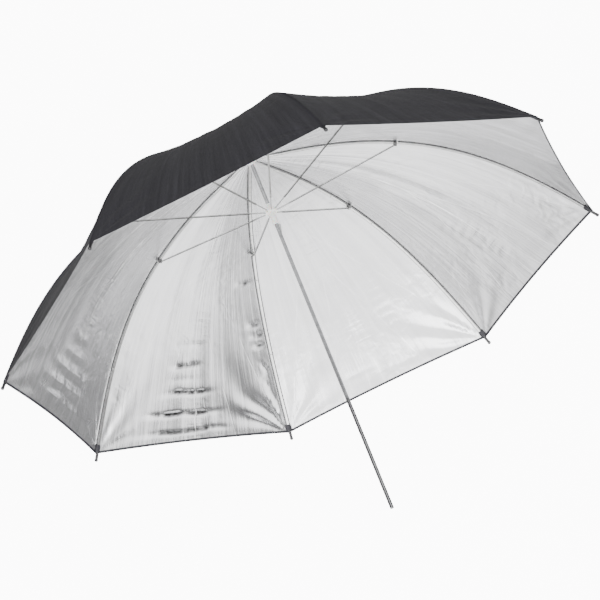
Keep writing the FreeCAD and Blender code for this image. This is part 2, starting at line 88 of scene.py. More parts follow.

# The cloth's wrinkles. Gore g lies between ribs g and g + 1, counted from 0.
STREAKS = ((0.0012, 0.34, 9.0), (0.0007, 0.20, 19.0))  # (height, length, number across a gore)
WAVE_HEIGHT = 0.0020  # of the broad waves
WAVE_LENGTH = 0.19
WAVE_WIDTH = 0.17
PUCKER_HEIGHT = 0.0006  # of the small folds round the crown
PUCKER_COUNT = 7
PUCKER_REACH = 0.10  # as a share of the rib
GATHER_HEIGHT = 0.0007  # of the small folds along the seams
GATHER_SIZE = 0.018
CORNER_REACH = 0.072
CORNER_FAN = 11.0  # how closely the folds from a corner follow each other
CORNER_FOLDS = {(3, 0.0): 0.0036, (4, 0.0): 0.0030, (4, 1.0): 0.0016}  # by (gore, edge)
OTHER_CORNER_FOLDS = 0.0011
CRUMPLED_EDGES = {4: 0.0044}  # by gore: height of the folds beside its first rib
CRUMPLED_FROM_RIB = 0.024
CRUMPLED_WIDTH = 0.011
CRUMPLED_LENGTH = 0.19  # from the hem
GROOVE_WIDTHS = {5: 0.0100}  # by gore
OTHER_GROOVE_WIDTH = 0.0070
GROOVE_WANDER = 0.003  # how far a groove strays from its row
GROOVE_EVENNESS = 0.72  # share of a groove's depth that doesn't vary along it
SHADED_GROOVE_GORE = 4  # the gore whose grooves also get painted shade in the material
SHADED_GROOVE_DEPTHS = (0.0016, 0.0036)  # of grooves that get hardly any and full painted shade
GROOVES = {  # by gore: (distance from the hem, side shift, half length, depth)
    2: tuple((0.090 + 0.024 * step, 0.006 * step, 0.018, 0.0014) for step in range(7)),
    3: ((0.028, -0.06, 0.030, 0.0012), (0.055, 0.04, 0.040, 0.0010))
    + tuple((0.125 + 0.023 * step, -0.075, 0.017, 0.0015) for step in range(9)),
    4: (
        (0.026, 0.024, 0.105, 0.0046),
        (0.068, 0.027, 0.086, 0.0054),
        (0.117, 0.018, 0.060, 0.0052),
        (0.147, 0.030, 0.040, 0.0014),
        (0.181, 0.025, 0.032, 0.0050),
        (0.228, 0.018, 0.030, 0.0020),
        (0.210, -0.168, 0.016, 0.0042),
        (0.234, -0.162, 0.018, 0.0042),
        (0.262, -0.151, 0.018, 0.0040),
        (0.370, -0.110, 0.022, 0.0040),
    ),
    5: (
        (0.040, -0.02, 0.120, 0.0036),
        (0.075, -0.03, 0.110, 0.0046),
        (0.112, -0.02, 0.080, 0.0046),
        (0.150, -0.01, 0.050, 0.0030),
        (0.190, 0.00, 0.030, 0.0024),
    ),
}

# Seam tapes, thread ties and corner pockets.
TAPE_HALF_WIDTH = 0.0036
TAPE_END_HALF_WIDTH = 0.0012
TAPE_TAPER_SHARE = 0.08
TAPE_BELOW_CLOTH = 0.0013
TAPE_THICKNESS = 0.0004
TAPE_FOOT = 0.0023  # how far above the rib's centreline the tape's folded middle ends
TAPE_ENDS = (0.035, 0.989)  # shares
TAPE_ROWS = 60
TAPE_COLUMNS = (-1.0, -0.55, -0.2, 0.0, 0.2, 0.55, 1.0)  # in half widths
TAPE_MIDDLE = 0.5  # half width of the part that folds down to the rib
TAPE_EDGE = 0.0036  # where its dark edge starts, from its middle: part raw black cloth, part painted shade
STITCH_ROW = 0.0030
STITCH_PITCH = 0.0028
TIE_SHARES = (0.14, 0.33, 0.50, 0.75)
TIE_TURNS = 3
THREAD_RADIUS = 0.00028
TURN_PITCH = 2.3 * THREAD_RADIUS
TURN_CLEARANCE = 1.5 * THREAD_RADIUS
TURN_STEPS = 28
THREAD_SIDES = 6
POCKET_LENGTH = 0.020
POCKET_HALF_WIDTH = 0.0060
POCKET_DEPTH = 0.0030  # below the rib's centreline
POCKET_WALL = 0.0005
POCKET_ROWS = 22
POCKET_COLUMNS = 32
POCKET_PLEATS = 5
POCKET_PLEAT_DEPTH = 0.05  # as a share of the half width

# --- the ribs' and the cloth's shape -----------------------------------------------------------


def rib_slope(share):
    """How far a rib leans below the outward radius, at a share of its length."""
    share = np.clip(share, 0.0, 1.0)
    return RIB_START_SLOPE + RIB_TURN * share * share * (3 - 2 * share)


def rib_trace():
    """(length, radius and drop from the pivot at even shares of the length) of a rib."""
    slope = rib_slope((np.arange(TRACE_STEPS) + 0.5) / TRACE_STEPS)
    radius = np.concatenate([[0.0], np.cumsum(np.cos(slope))]) / TRACE_STEPS
    drop = np.concatenate([[0.0], np.cumsum(np.sin(slope))]) / TRACE_STEPS
    length = (RIM_RADIUS - HUB_WIRE_RING) / radius[-1]
    return length, radius * length, drop * length


RIB_LENGTH, TRACE_RADIUS, TRACE_DROP = rib_trace()
TRACE_SHARES = np.linspace(0.0, 1.0, TRACE_STEPS + 1)
FLEX_SHARE = JOINT_SHARE + JOINT_TO_FLEX / RIB_LENGTH
FIRST_SHARE = (CLOTH_HOLE - HUB_WIRE_RING) / RIB_LENGTH


def rib_point(share, above=0.0):
    """(radius, height) of a point that lies above a rib's centreline, towards the cloth."""
    beyond = (share - np.clip(share, 0.0, 1.0)) * RIB_LENGTH
    slope = rib_slope(share)
    radius = np.interp(share, TRACE_SHARES, TRACE_RADIUS) + beyond * np.cos(slope)
    drop = np.interp(share, TRACE_SHARES, TRACE_DROP) + beyond * np.sin(slope)
    radius = HUB_WIRE_RING + radius + above * np.sin(slope)
    return radius, HUB_HEIGHT - drop + above * np.cos(slope)


def smooth_step(value, low, high):
    """0 below low and 1 above high, with a smooth rise between them."""
    part = np.clip((value - low) / (high - low), 0.0, 1.0)
    return part * part * (3 - 2 * part)


def taut_cloth(share, over):
    """(radius, sideways, height) of the cloth's outer face with no wrinkles: over is 0 on a rib
    and 1 halfway to the next."""
    rise = np.clip(1 - np.maximum(share, 0.0) / CLOTH_CROWN_SHARE, 0.0, None) ** 2
    above = CLOTH_ABOVE_RIB + CLOTH_CROWN_RISE * rise + CLOTH_SOLID
    hem = HEM_SCALLOP / RIB_LENGTH * np.maximum(share, 0.0) ** HEM_POWER
    on_rib, height = rib_point(share - hem * over * (2 - over), above)
    slope = rib_slope(share)
    bow = np.sin(math.pi * BOW_SPAN * np.clip(share, 0.0, 1.0) ** BOW_POWER)
    dip = CLOTH_DIP * bow * over * (2 - over)
    middle = on_rib * math.cos(HALF_STEP)
    radial = on_rib + (middle * math.cos(HALF_STEP) - on_rib) * over
    sideways = middle * math.sin(HALF_STEP) * over
    angle = HALF_STEP * over
    radial = radial - dip * np.sin(slope) * np.cos(angle)
    sideways = sideways - dip * np.sin(slope) * np.sin(angle)
    return radial, sideways, height - dip * np.cos(slope)


def to_row(rib, radial, sideways, height):
    """Points of a rib's own frame in the row frame, stacked along the last axis."""
    angle = 2 * HALF_STEP * rib
    return np.stack(
        [
            radial * math.sin(angle) + sideways * math.cos(angle),
            height + 0 * radial,
            radial * math.cos(angle) - sideways * math.sin(angle),
        ],
        axis=-1,
    )


# --- wrinkles ----------------------------------------------------------------------------------


def smooth_noise(u, v, seed):
    """Noise between -1 and 1 that changes over a distance of 1."""
    cells = 64
    values = np.random.default_rng(seed).uniform(-1, 1, (cells, cells))
    i, j = np.floor(u).astype(int), np.floor(v).astype(int)
    s, t = u - i, v - j
    s, t = s * s * (3 - 2 * s), t * t * (3 - 2 * t)
    low = values[i % cells, j % cells] * (1 - s) + values[(i + 1) % cells, j % cells] * s
    high = (
        values[i % cells, (j + 1) % cells] * (1 - s)
        + values[(i + 1) % cells, (j + 1) % cells] * s
    )
    return low * (1 - t) + high * t


def corner_folds(along, across, height, seed):
    """Folds that fan out from a cloth corner held by its tip."""
    reach = np.hypot(along, across) / CORNER_REACH
    turn = np.arctan2(np.abs(across), np.maximum(along, 1e-6))
    fan = np.sin(turn * CORNER_FAN + 1.2 * smooth_noise(reach * 1.1, turn * 1.5, seed) + seed)
    return height * fan * (reach * np.exp(1 - reach)) ** 2 * smooth_step(turn, 0.0, 0.4)


def hem_grooves(gore, hem_distance, across, seed):
    """Sharp grooves that lie along the hem where the folded cloth was squeezed flat."""
    lift = 0 * across
    groove_width = GROOVE_WIDTHS.get(gore, OTHER_GROOVE_WIDTH)
    for place_at, shift, reach, depth in GROOVES.get(gore, ()):
        row = place_at + 0 * across
        wander = GROOVE_WANDER * smooth_noise(across / 0.045, row / 0.013, seed)
        off = (hem_distance - place_at + wander) / groove_width
        middle = np.exp(-(((across - shift) / reach) ** 4))
        patchy = smooth_noise(across / 0.011, row / 0.011, seed + 2)
        patchy = GROOVE_EVENNESS + (1 - GROOVE_EVENNESS) * patchy
        lift = lift - depth * np.exp(-off * off) * patchy * middle
    return lift


def groove_shade_share(gore, share, way):
    """How much painted shade a groove gets, from 0 to 1 by its depth; only on one gore."""
    across = (way - 0.5) * 2 * rib_point(share)[0] * math.sin(HALF_STEP)
    depth = -hem_grooves(gore, (1 - share) * RIB_LENGTH, across, 20 * gore + 4)
    return smooth_step(depth, *SHADED_GROOVE_DEPTHS) * (gore == SHADED_GROOVE_GORE)


def wrinkles(gore, share, way):
    """How far the cloth of a gore stands outwards of its taut shape; way runs from 0 on its
    first rib to 1 on its second."""
    width = 2 * rib_point(share)[0] * math.sin(HALF_STEP)
    along = share * RIB_LENGTH
    hem_distance = (1 - share) * RIB_LENGTH
    across = (way - 0.5) * width
    from_edge = way * width
    seam = np.minimum(way, 1 - way) * width
    free = np.sin(math.pi * np.clip(way, 0.0, 1.0)) ** 0.8
    seed = 20 * gore
    lift = WAVE_HEIGHT * smooth_noise(along / WAVE_LENGTH, across / WAVE_WIDTH, seed + 3)
    for number, (height, length, count) in enumerate(STREAKS, 1):
        lift = lift + height * smooth_noise(along / length, way * count, seed + number)
    lift = lift * free * smooth_step(share, 0.02, 0.35)
    lift = lift + hem_grooves(gore, hem_distance, across, seed + 4)
    for edge, number in ((0.0, 5), (1.0, 6)):
        height = CORNER_FOLDS.get((gore, edge), OTHER_CORNER_FOLDS)
        lift = lift + corner_folds(hem_distance, (way - edge) * width, height, seed + number)
    ridge = np.exp(-(((from_edge - CRUMPLED_FROM_RIB) / CRUMPLED_WIDTH) ** 2))
    ridge = ridge * smooth_step(hem_distance, 0.0, 0.05)
    ridge = ridge * smooth_step(CRUMPLED_LENGTH - hem_distance, 0.0, 0.06)
    folds = smooth_noise(along / 0.016 + from_edge / 0.012, from_edge / 0.02, seed + 9)
    lift = lift + CRUMPLED_EDGES.get(gore, 0.0) * folds * ridge
    puckers = np.sin(2 * math.pi * PUCKER_COUNT * way) * np.exp(-share / PUCKER_REACH)
    lift = lift + PUCKER_HEIGHT * puckers * smooth_step(share, 0.0, 0.05)
    gathers = smooth_noise(along / GATHER_SIZE, seam / 0.02, seed + 8)
    lift = lift + GATHER_HEIGHT * gathers * np.exp(-seam / GATHER_SIZE)
    calm = 0.15 + 0.85 * smooth_step(hem_distance, 0.0, 0.035)
    slack = SLACK.get(gore, 0.0) * free * np.sin(math.pi * np.clip(share, 0, 1) ** 1.5)
    return lift * calm * smooth_step(seam, 0.004, 0.020) - slack


def gore_outwards(gore, share):
    """Unit vector out of the middle of a gore's taut cloth."""
    middle = 2 * HALF_STEP * (gore + 0.5)
    slope = rib_slope(share)
    return np.stack(
        [
            np.sin(slope) * math.sin(middle),
            np.cos(slope),
            np.sin(slope) * math.cos(middle),
        ],
        axis=-1,
    )


def gore_point(gore, share, way):
    """Points of the wrinkled cloth's middle layer, between rib gore and the next."""
    first_half = way <= 0.5
    over = np.where(first_half, 2 * way, 2 - 2 * way)
    radial, sideways, height = taut_cloth(share, over)
    near = to_row(gore, radial, sideways, height)
    far = to_row(gore + 1, radial, -sideways, height)
    point = np.where(first_half[..., None], near, far)
    lift = wrinkles(gore, share, way) - CLOTH_SOLID / 2
    return point + gore_outwards(gore, share) * lift[..., None]


def gore_normal(gore, share, way):
    """Outward normals of the wrinkled cloth, the same on both sides of the halfway line."""
    step_share, step_way = 0.002, 0.004
    low, high = np.clip(way - step_way, 0, 1), np.clip(way + step_way, 0, 1)
    up = gore_point(gore, share + step_share, way) - gore_point(gore, share - step_share, way)
    side = gore_point(gore, share, high) - gore_point(gore, share, low)
    normal = np.cross(side, up)
    normal /= np.linalg.norm(normal, axis=-1, keepdims=True)
    facing = np.sum(normal * gore_outwards(gore, share), axis=-1, keepdims=True)
    return normal * np.where(facing < 0, -1.0, 1.0)


# --- materials ---------------------------------------------------------------------------------


def new_material(name):
    material = bpy.data.materials.new(name)
    material.use_nodes = True
    return material, material.node_tree, material.node_tree.nodes["Principled BSDF"]


def add_node(tree, kind, inputs=None, **settings):
    """A shader node with its settings, and its inputs linked or set."""
    made = tree.nodes.new(kind)
    for key, value in settings.items():
        setattr(made, key, value)
    for key, value in (inputs or {}).items():
        if isinstance(value, bpy.types.NodeSocket):
            tree.links.new(value, made.inputs[key])
        else:
            made.inputs[key].default_value = value
    return made


def set_shader(tree, shader, **inputs):
    """Links or sets a shader's inputs, whose names have underscores for spaces."""
    for key, value in inputs.items():
        socket = shader.inputs[key.replace("_", " ")]
        if isinstance(value, bpy.types.NodeSocket):
            tree.links.new(value, socket)
        else:
            socket.default_value = value


def place(tree, kind, scale):
    """Texture coordinates (UV or Object), scaled along each axis."""
    source = add_node(tree, "ShaderNodeTexCoord").outputs[kind]
    mapping = add_node(tree, "ShaderNodeMapping", {"Vector": source, "Scale": scale})
    return mapping.outputs["Vector"]


def uv_parts(tree, scale=(1, 1, 1)):
    """The UV map's two coordinates, which are in metres before they are scaled."""
    split = add_node(tree, "ShaderNodeSeparateXYZ", {"Vector": place(tree, "UV", scale)})
    return split.outputs["X"], split.outputs["Y"]


def noise(tree, vector, detail=3.0, roughness=0.5, distortion=0.0):
    """Noise between 0 and 1 that changes over a distance of 1 of the vector."""
    inputs = {
        "Vector": vector,
        "Scale": 1.0,
        "Detail": detail,
        "Roughness": roughness,
        "Distortion": distortion,
    }
    return add_node(tree, "ShaderNodeTexNoise", inputs).outputs["Fac"]


def blotches(tree, scale, *settings):
    """Noise that is the same size along each axis: scale is how many changes to the metre."""
    return noise(tree, place(tree, "Object", (scale, scale, scale)), *settings)


def stretch(tree, value, low, high, to_low, to_high):
    """Maps low..high of a value to to_low..to_high."""
    inputs = {
        "Value": value,
        "From Min": low,
        "From Max": high,
        "To Min": to_low,
        "To Max": to_high,
    }
    return add_node(tree, "ShaderNodeMapRange", inputs).outputs["Result"]


def ramp(tree, value, *stops):
    """Colours along a value, as (position, (r, g, b)) stops."""
    made = add_node(tree, "ShaderNodeValToRGB", {"Fac": value})
    elements = made.color_ramp.elements
    while len(elements) < len(stops):
        elements.new(1.0)
    for element, (position, colour) in zip(elements, stops):
        element.position = position
        element.color = (*colour, 1.0)
    return made.outputs["Color"]


def bump(tree, height, distance, strength=1.0, normal=None):
    inputs = {"Height": height, "Distance": distance, "Strength": strength}
    if normal is not None:
        inputs["Normal"] = normal
    return add_node(tree, "ShaderNodeBump", inputs).outputs["Normal"]


def weave(tree, pitch):
    """Over-and-under threads of that pitch, as a height between 0 and 1."""
    vector = place(tree, "UV", (1 / pitch, 1 / pitch, 1))
    return add_node(
        tree,
        "ShaderNodeTexBrick",
        {
            "Vector": vector,
            "Color1": (1, 1, 1, 1),
            "Color2": (0.7, 0.7, 0.7, 1),
            "Mortar": (0, 0, 0, 1),
            "Scale": 1.0,
            "Mortar Size": 0.12,
            "Mortar Smooth": 1.0,
            "Brick Width": 1.0,
            "Row Height": 0.5,
        },
    ).outputs["Color"]


def around_axis(tree, turns, along):
    """Coordinates that run round the umbrella's axis and, more slowly, along it, so that a
    noise over them makes streaks that spread out from the crown."""
    source = add_node(tree, "ShaderNodeTexCoord").outputs["Object"]

    def vector_math(operation, inputs):
        made = add_node(tree, "ShaderNodeVectorMath", inputs, operation=operation)
        return made.outputs["Vector"]

    flat = vector_math("MULTIPLY", {0: source, 1: (1, 0, 1)})
    unit = vector_math("NORMALIZE", {0: flat})
    ring = vector_math("SCALE", {0: unit, "Scale": turns})
    rise = vector_math("MULTIPLY", {0: source, 1: (0, along, 0)})
    return vector_math("ADD", {0: ring, 1: rise})


def math_node(tree, operation, first, second=0.0):
    return add_node(tree, "ShaderNodeMath", {0: first, 1: second}, operation=operation).outputs[0]


def mix_colours(tree, share, first, second):
    inputs = {"Factor": share, 6: first, 7: second}  # the node's colour sockets
    return add_node(tree, "ShaderNodeMix", inputs, data_type="RGBA").outputs[2]


def storage_creases(tree):
    """Height of the sharp creases left by storage: one down the middle of each gore, and some
    that fan out from it towards the hem."""
    from_middle, along = uv_parts(tree)
    wander = stretch(tree, blotches(tree, 9, 1.5, 0.5), 0.2, 0.8, -0.005, 0.005)
    middle = math_node(tree, "ADD", from_middle, wander)
    total = stretch(tree, math_node(tree, "ABSOLUTE", middle), 0.0, 0.0022, 1.0, 0.0)
    for spread, start, share in ((0.30, 0.40, 0.6), (0.52, 0.30, 0.5), (0.16, 0.52, 0.45)):
        line = math_node(tree, "SUBTRACT", along, start)
        line = math_node(tree, "MULTIPLY", line, spread)
        line = math_node(tree, "SUBTRACT", middle, line)
        ridge = stretch(tree, math_node(tree, "ABSOLUTE", line), 0.0, 0.0020, share, 0.0)
        total = math_node(tree, "MAXIMUM", total, ridge)
    broken = stretch(tree, blotches(tree, 16), 0.38, 0.60, 0, 1)
    return math_node(tree, "MULTIPLY", total, broken)


def fold_ladder(tree):
    """Short wrinkles across the fold down the middle of a gore, as a height."""
    rungs = noise(tree, place(tree, "UV", (22, 95, 1)), 2.0, 0.5, 0.4)
    near_fold = stretch(tree, uv_parts(tree)[0], 0.006, 0.038, 1.0, 0.0)
    patchy = stretch(tree, blotches(tree, 7), 0.42, 0.62, 0.1, 1)
    near_fold = math_node(tree, "MULTIPLY", near_fold, patchy)
    return math_node(tree, "MULTIPLY", rungs, near_fold)


def silver_cloth():
    """Satin cloth with a metal coating: streaky along the gore, creased by storage, crumpled
    in patches, with painted highlights on its creases and painted shade in one gore's grooves."""
    material, tree, shader = new_material("silver_cloth")
    streaks = noise(tree, around_axis(tree, 46.0, 3.0), 5.0, 0.6, 0.2)
    patches = blotches(tree, 11, 4.0, 0.55, 0.8)
    crumpled = stretch(tree, blotches(tree, 6), 0.48, 0.66, 0.12, 1)
    crumple = math_node(tree, "MULTIPLY", blotches(tree, 42, 1.0, 0.5, 0.5), crumpled)
    tone = math_node(
        tree,
        "ADD",
        math_node(tree, "MULTIPLY", streaks, 0.6),
        math_node(tree, "MULTIPLY", patches, 0.4),
    )
    colour = ramp(
        tree,
        tone,
        (0.32, (0.60, 0.60, 0.61)),
        (0.52, (0.70, 0.70, 0.71)),
        (0.72, (0.80, 0.80, 0.81)),
    )
    # Painted shade: one gore's grooves are darkened towards near black, in speckles, for the dark
    # reflections in them.
    painted_groove_shade = add_node(tree, "ShaderNodeAttribute", attribute_name="painted_groove_shade").outputs["Fac"]
    speckle = stretch(tree, blotches(tree, 130, 3.0, 0.6), 0.40, 0.56, 0.8, 1.0)
    painted_groove_shade = math_node(tree, "MULTIPLY", painted_groove_shade, speckle)
    colour = mix_colours(tree, painted_groove_shade, colour, (0.03, 0.03, 0.031, 1))
    creases = storage_creases(tree)
    # Painted highlight: the crease lines are lightened towards white, for the bright ridges of
    # the creases.
    colour = mix_colours(tree, math_node(tree, "MULTIPLY", creases, 0.8), colour, (1, 1, 1, 1))
    relief = bump(tree, weave(tree, 0.00035), 0.00003, 0.4)
    relief = bump(tree, streaks, 0.0022, 0.5, relief)
    relief = bump(tree, crumple, 0.0040, 0.5, relief)
    relief = bump(tree, fold_ladder(tree), 0.0026, 0.8, relief)
    relief = bump(tree, creases, 0.0006, 0.7, relief)
    set_shader(
        tree,
        shader,
        Base_Color=colour,
        Metallic=0.96,
        Roughness=stretch(tree, patches, 0.3, 0.7, 0.17, 0.28),
        Normal=relief,
    )
    return material


def black_cloth(name, sheen):
    """Tightly woven black cloth with faint streaks from the crown to the hem."""
    material, tree, shader = new_material(name)
    streaks = noise(tree, around_axis(tree, 60.0, 4.0), 5.0, 0.6, 0.2)
    patches = blotches(tree, 16, 4.0, 0.6, 0.5)
    colour = ramp(
        tree,
        streaks,
        (0.30, (0.014, 0.0137, 0.0168)),
        (0.55, (0.022, 0.0215, 0.0262)),
        (0.78, (0.038, 0.0372, 0.0440)),
    )
    relief = bump(tree, weave(tree, 0.0004), 0.00005, 0.5)
    relief = bump(tree, streaks, 0.0022, 0.5, relief)
    relief = bump(tree, storage_creases(tree), 0.0005, 0.7, relief)
    set_shader(
        tree,
        shader,
        Base_Color=colour,
        Roughness=stretch(tree, patches, 0.3, 0.7, 0.55, 0.70),
        Normal=relief,
    )
    shader.inputs["Specular IOR Level"].default_value = 0.35
    shader.inputs["Sheen Weight"].default_value = sheen
    shader.inputs["Sheen Roughness"].default_value = 0.45
    return material


def seam_binding():
    """Grey satin binding with dark edges, part raw black cloth and part painted shade, and a row
    of stitches inside each edge.
    """
    material, tree, shader = new_material("seam_binding")
    across, stitches = uv_parts(tree, (1, 1 / STITCH_PITCH, 1))
    on_dash = stretch(tree, math_node(tree, "FRACT", stitches), 0.22, 0.30, 0.0, 1.0)
    side = math_node(tree, "ABSOLUTE", across)
    from_row = math_node(tree, "ABSOLUTE", math_node(tree, "SUBTRACT", side, STITCH_ROW))
    on_row = stretch(tree, from_row, 0.0002, 0.0004, 1.0, 0.0)
    stitch = math_node(tree, "MULTIPLY", on_dash, on_row)
    inside_edge = stretch(tree, side, TAPE_EDGE - 0.0002, TAPE_EDGE + 0.0002, 1.0, 0.0)
    # The band outside TAPE_EDGE is near black: the black cloth's raw edge, with painted shade
    # where binding and rib meet.
    colour = ramp(
        tree,
        math_node(tree, "SUBTRACT", inside_edge, math_node(tree, "MULTIPLY", stitch, 0.5)),
        (0.1, (0.035, 0.035, 0.037)),
        (0.9, (0.46, 0.46, 0.47)),
    )
    fine = bump(tree, weave(tree, 0.0005), 0.0001, 0.7)
    relief = bump(tree, stitch, 0.0003, 0.8, fine)
    set_shader(tree, shader, Base_Color=colour, Metallic=0.6, Roughness=0.42, Normal=relief)
    return material


def metal(name, dark, light, rough_low, rough_high, grain, relief=0.00004):
    """Metal with drawn or rolled grain; grain is the noise's scale along each axis."""
    material, tree, shader = new_material(name)
    lines = noise(tree, place(tree, "Object", grain), 6.0, 0.65)
    stains = blotches(tree, 90, 4.0, 0.6)
    set_shader(
        tree,
        shader,
        Base_Color=ramp(tree, stains, (0.32, dark), (0.62, light)),
        Metallic=1.0,
        Roughness=stretch(tree, lines, 0.3, 0.7, rough_low, rough_high),
        Normal=bump(tree, lines, relief, 0.6),
    )
    return material


def moulded(name, dark, light, rough_low, rough_high, subsurface=0.0):
    """Moulded plastic with faint flow marks and a fine grain."""
    material, tree, shader = new_material(name)
    flow = noise(tree, place(tree, "Object", (120, 60, 120)), 3.0, 0.5, 0.6)
    grain = blotches(tree, 2600, 2.0, 0.5)
    set_shader(
        tree,
        shader,
        Base_Color=ramp(tree, flow, (0.35, dark), (0.65, light)),
        Roughness=stretch(tree, flow, 0.3, 0.7, rough_low, rough_high),
        Normal=bump(tree, grain, 0.00003, 0.5),
    )
    shader.inputs["Subsurface Weight"].default_value = subsurface
    shader.inputs["Subsurface Scale"].default_value = 0.004
    return material


def thread_material():
    """Pale twisted thread."""
    material, tree, shader = new_material("thread")
    inputs = {"Vector": place(tree, "Object", (1, 1, 1)), "Scale": 700.0, "Distortion": 1.0}
    twist = add_node(tree, "ShaderNodeTexWave", inputs).outputs["Fac"]
    set_shader(
        tree,
        shader,
        Base_Color=ramp(tree, twist, (0.2, (0.42, 0.42, 0.41)), (0.8, (0.70, 0.70, 0.68))),
        Roughness=0.75,
        Normal=bump(tree, twist, 0.0001, 0.6),
    )
    return material


SILVER = silver_cloth()
BLACK = black_cloth("black_cloth", 0.03)
HEM = black_cloth("hem_cloth", 0.0)
POCKET = black_cloth("pocket_cloth", 0.0)
TAPE = seam_binding()
THREAD = thread_material()
CHROME = metal(
    "chrome_tube", (0.20, 0.203, 0.206), (0.29, 0.293, 0.297), 0.03, 0.08, (900, 6, 900), 0.00001
)
RIB_STEEL = metal("rib_steel", (0.66, 0.66, 0.65), (0.82, 0.82, 0.81), 0.16, 0.30, (700, 60, 700))
STRETCHER_STEEL = metal(
    "stretcher_steel", (0.24, 0.24, 0.238), (0.40, 0.40, 0.395), 0.07, 0.15, (700, 70, 700)
)
JOINT_STEEL = metal(
    "joint_steel", (0.07, 0.07, 0.07), (0.18, 0.18, 0.178), 0.25, 0.42, (500, 500, 500)
)
WIRE_STEEL = metal(
    "wire_steel", (0.50, 0.50, 0.49), (0.70, 0.70, 0.69), 0.25, 0.40, (900, 900, 900)
)
WHITE_PLASTIC = moulded(
    "white_plastic", (0.74, 0.74, 0.71), (0.86, 0.86, 0.84), 0.28, 0.42, subsurface=0.25
)
BLACK_PLASTIC = moulded(
    "black_plastic", (0.012, 0.012, 0.013), (0.022, 0.022, 0.024), 0.26, 0.42
)

NODE_MATERIALS = {
    "shaft": CHROME,
    "latch_spring": STRETCHER_STEEL,
    "top_notch": WHITE_PLASTIC,
    "notch_wire": WIRE_STEEL,
    "runner": WHITE_PLASTIC,
    "runner_wire": WIRE_STEEL,
    "crown_washer": BLACK_PLASTIC,
    "crown_cap": BLACK_PLASTIC,
}
for number in range(1, RIB_COUNT + 1):
    NODE_MATERIALS[f"rib_{number}"] = RIB_STEEL
    NODE_MATERIALS[f"rib_{number}_outer"] = RIB_STEEL
    NODE_MATERIALS[f"rib_{number}_joint"] = JOINT_STEEL
    NODE_MATERIALS[f"rib_{number}_tip"] = BLACK_PLASTIC
    NODE_MATERIALS[f"stretcher_{number}"] = STRETCHER_STEEL
for name, material in NODE_MATERIALS.items():
    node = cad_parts[name]
    node.data.materials.clear()
    node.data.materials.append(material)

# --- canopy ------------------------------------------------------------------------------------


def new_mesh_object(name, vertices, faces, materials, face_materials, uvs=None):
    """A smooth-shaded mesh with one material per face and UVs per vertex in metres."""
    mesh = bpy.data.meshes.new(name)
    mesh.from_pydata(vertices.tolist(), [], faces.tolist())
    for material in materials:
        mesh.materials.append(material)
    mesh.polygons.foreach_set("material_index", face_materials)
    mesh.polygons.foreach_set("use_smooth", np.ones(len(faces), bool))
    if uvs is not None:
        layer = mesh.uv_layers.new(name="cloth")
        corners = np.empty(len(mesh.loops), np.int32)
        mesh.loops.foreach_get("vertex_index", corners)
        layer.data.foreach_set("uv", uvs[corners].astype(np.float32).ravel())
    mesh.update()
    made = bpy.data.objects.new(name, mesh)
    bpy.context.scene.collection.objects.link(made)
    return made


def grid_faces(rows, columns, offset, flip):
    """Quads of a grid of vertices; flip turns them to face the other way. Both ways start at
    the same corner, so that the two layers of a sheet fold along the same diagonals."""
    i, j = np.meshgrid(np.arange(rows - 1), np.arange(columns - 1), indexing="ij")
    first = (i * columns + j).ravel() + offset
    quads = np.stack([first, first + 1, first + columns + 1, first + columns], axis=1)
    return quads[:, [0, 3, 2, 1]] if flip else quads


def closed_faces(rows, columns):
    """Faces of two grids of vertices, the outer one first, and of the walls round their edge."""
    count = rows * columns
    ring = np.concatenate(
        [
            np.arange(columns),
            np.arange(1, rows) * columns + columns - 1,
            (rows - 1) * columns + np.arange(columns - 2, -1, -1),
            np.arange(rows - 2, 0, -1) * columns,
        ]
    )
    following = np.roll(ring, -1)
    walls = np.stack([ring, following, following + count, ring + count], axis=1)
    outer = grid_faces(rows, columns, 0, flip=True)
    return np.concatenate([outer, grid_faces(rows, columns, count, flip=False), walls])


def ring_faces(rows, columns):
    """Quads of a grid of vertices that closes on itself both ways."""
    i, j = np.meshgrid(np.arange(rows), np.arange(columns), indexing="ij")
    next_i, next_j = (i + 1) % rows, (j + 1) % columns
    corners = ((i, j), (i, next_j), (next_i, next_j), (next_i, j))
    return np.stack([(row * columns + column).ravel() for row, column in corners], axis=1)


def section_rows(start, end, count):
    """Evenly spaced shares along the rib."""
    return start + (end - start) * np.linspace(0.0, 1.0, count)


def full_turn(count):
    """Evenly spaced angles round a circle."""
    return np.linspace(0, 2 * math.pi, count + 1)[:-1]


def rib_normals(rib, shares):
    """Unit normals of the cloth on a rib: the mean of the normals on its two sides."""
    share = shares[:, None]
    normals = gore_normal((rib - 1) % RIB_COUNT, share, 1 + 0 * share)
    normals = (normals + gore_normal(rib, share, 0 * share))[:, 0]
    return normals / np.linalg.norm(normals, axis=-1, keepdims=True)


def cloth_slots(rows, side, hem):
    """Material of each face of a half: 0 outside, 1 inside and 2 on the edges, along the rib
    and, with a hem, on its inner face's last row."""
    layer = rows * HALF_COLUMNS
    walls = 2 * (rows + HALF_COLUMNS)
    slots = np.full(2 * layer + walls, 2, np.int32)
    slots[:layer] = 0
    slots[layer : 2 * layer] = 1
    if hem:
        slots[2 * layer - HALF_COLUMNS : 2 * layer] = 2
    slots[:layer].reshape(rows, -1)[:, 0 if side > 0 else -1] = 2
    return slots


def shade(made, outwards, layer):
    """Sets a half's normals to the given ones on its two layers, and leaves the walls flat."""
    vertex = np.empty(len(made.data.loops), np.int32)
    made.data.loops.foreach_get("vertex_index", vertex)
    face = np.arange(len(vertex)) // 4
    normals = outwards[vertex % len(outwards)]
    normals[face >= layer] *= -1
    normals[face >= 2 * layer] = 0
    made.data.normals_split_custom_set(normals.tolist())


